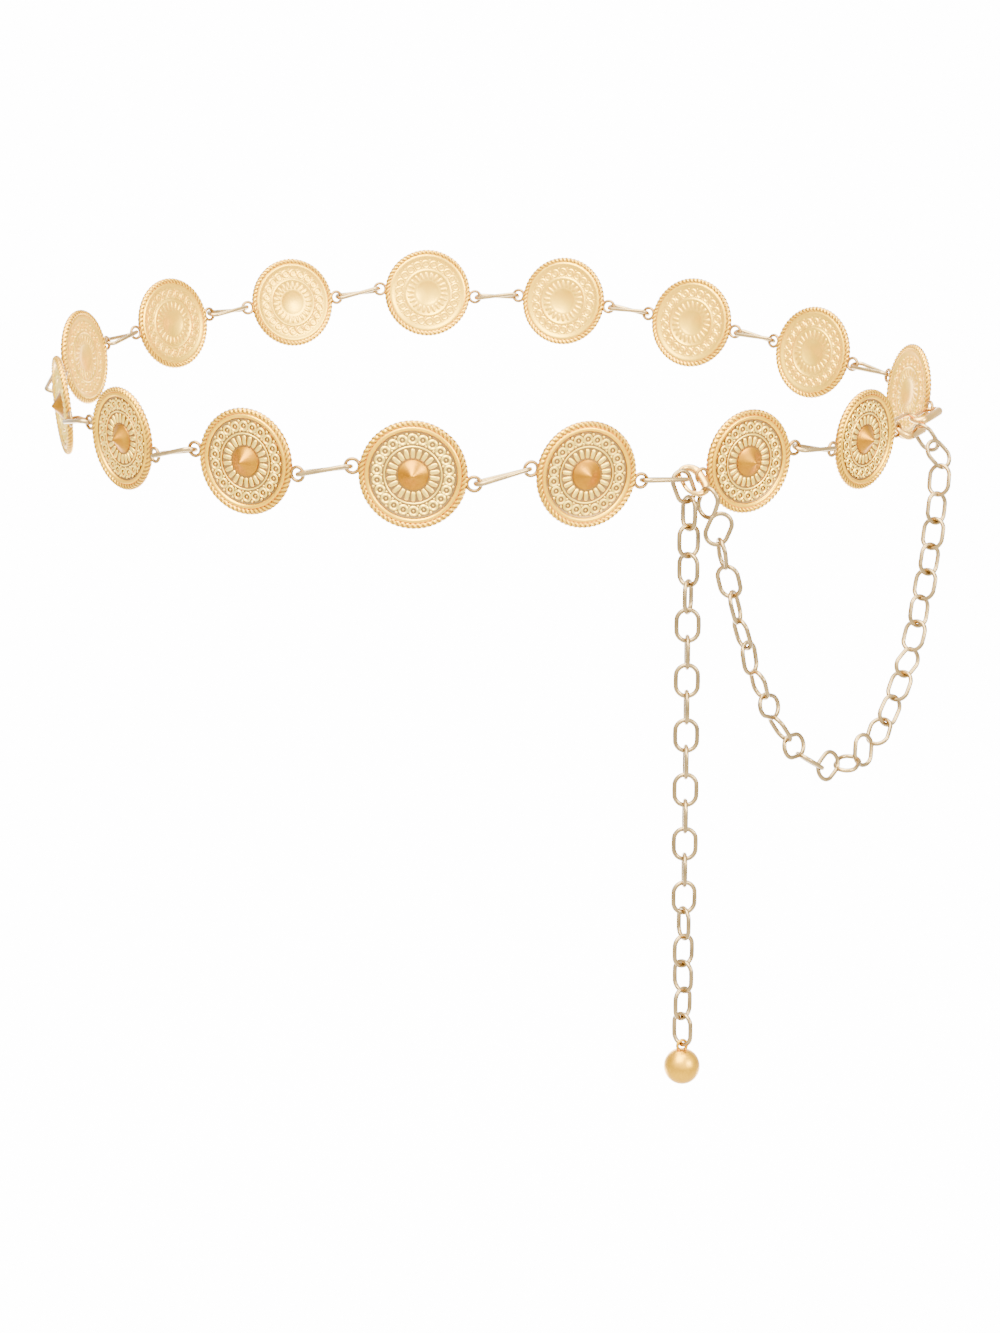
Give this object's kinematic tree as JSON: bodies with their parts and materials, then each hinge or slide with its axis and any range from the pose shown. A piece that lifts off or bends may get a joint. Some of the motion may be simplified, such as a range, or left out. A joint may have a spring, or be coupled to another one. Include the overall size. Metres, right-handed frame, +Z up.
{
  "type": "chain belt",
  "caption": "Hip belt of round ornamented medallions joined by oval connectors, with a swag chain on one hip and a hanging tail chain that ends in a ball.",
  "frame": {"origin": "middle of the ring of medallions, where the hips hold the belt", "axes": "+Z up, the front of the belt towards -Y, +X towards the hip that carries the swag chain"},
  "size_m": [0.351, 0.2855, 0.3006],
  "materials": {
    "coin_gold": "satin pale gold plating, cast relief",
    "chain_gold": "polished pale gold plating, slightly greyer than the medallions"
  },
  "bodies": {
    "belt": {"coin_01": "coin_gold", "coin_02": "coin_gold", "coin_03": "coin_gold", "coin_04": "coin_gold", "coin_05": "coin_gold", "coin_06": "coin_gold", "coin_07": "coin_gold", "coin_08": "coin_gold", "coin_09": "coin_gold", "coin_10": "coin_gold", "coin_11": "coin_gold", "coin_12": "coin_gold", "coin_13": "coin_gold", "coin_14": "coin_gold", "coin_15": "coin_gold", "connector_01": "chain_gold", "connector_03": "chain_gold", "connector_04": "chain_gold", "connector_05": "chain_gold", "connector_06": "chain_gold", "connector_07": "chain_gold", "connector_08": "chain_gold", "connector_09": "chain_gold", "connector_10": "chain_gold", "connector_11": "chain_gold", "connector_12": "chain_gold", "connector_13": "chain_gold", "connector_14": "chain_gold", "connector_02": "chain_gold", "clasp_front": "chain_gold", "connector_15": "chain_gold", "ring_side": "chain_gold", "ring_front": "chain_gold", "swag_01_02": "chain_gold", "swag_03_04": "chain_gold", "swag_05_06": "chain_gold", "swag_07_08": "chain_gold", "swag_09_10": "chain_gold", "swag_11_12": "chain_gold", "swag_13_14": "chain_gold", "swag_15_16": "chain_gold", "swag_17_18": "chain_gold", "swag_19_20": "chain_gold", "swag_21_22": "chain_gold", "swag_23_24": "chain_gold", "swag_25_26": "chain_gold", "swag_27_28": "chain_gold"},
    "tail_top": {"tail_01": "chain_gold"},
    "tail": {"tail_02_03": "chain_gold", "tail_04_05": "chain_gold", "tail_06_07": "chain_gold", "tail_08_09": "chain_gold", "tail_10_11": "chain_gold", "tail_12_13": "chain_gold", "tail_14_15": "chain_gold", "tail_16_17": "chain_gold", "tail_18_19": "chain_gold", "tail_20": "chain_gold"},
    "ball": {"ball": "coin_gold"}
  },
  "joints": [
    {"name": "tail_top_swing", "type": "hinge", "parent": "belt", "child": "tail_top", "pos_m": [0.07902, -0.10673, -0.035], "axis": [0.8863, 0.462, -0.0334], "range_deg": [-18, 5]},
    {"name": "tail_swing", "type": "hinge", "parent": "tail_top", "child": "tail", "pos_m": [0.07902, -0.10673, -0.0451], "axis": [0.4848, -0.8746, 0], "range_deg": [-35, 8]},
    {"name": "ball_swing", "type": "hinge", "parent": "tail", "child": "ball", "pos_m": [0.07902, -0.10673, -0.237], "axis": [0.7071, -0.7071, 0], "range_deg": [-45, 45]}
  ]
}
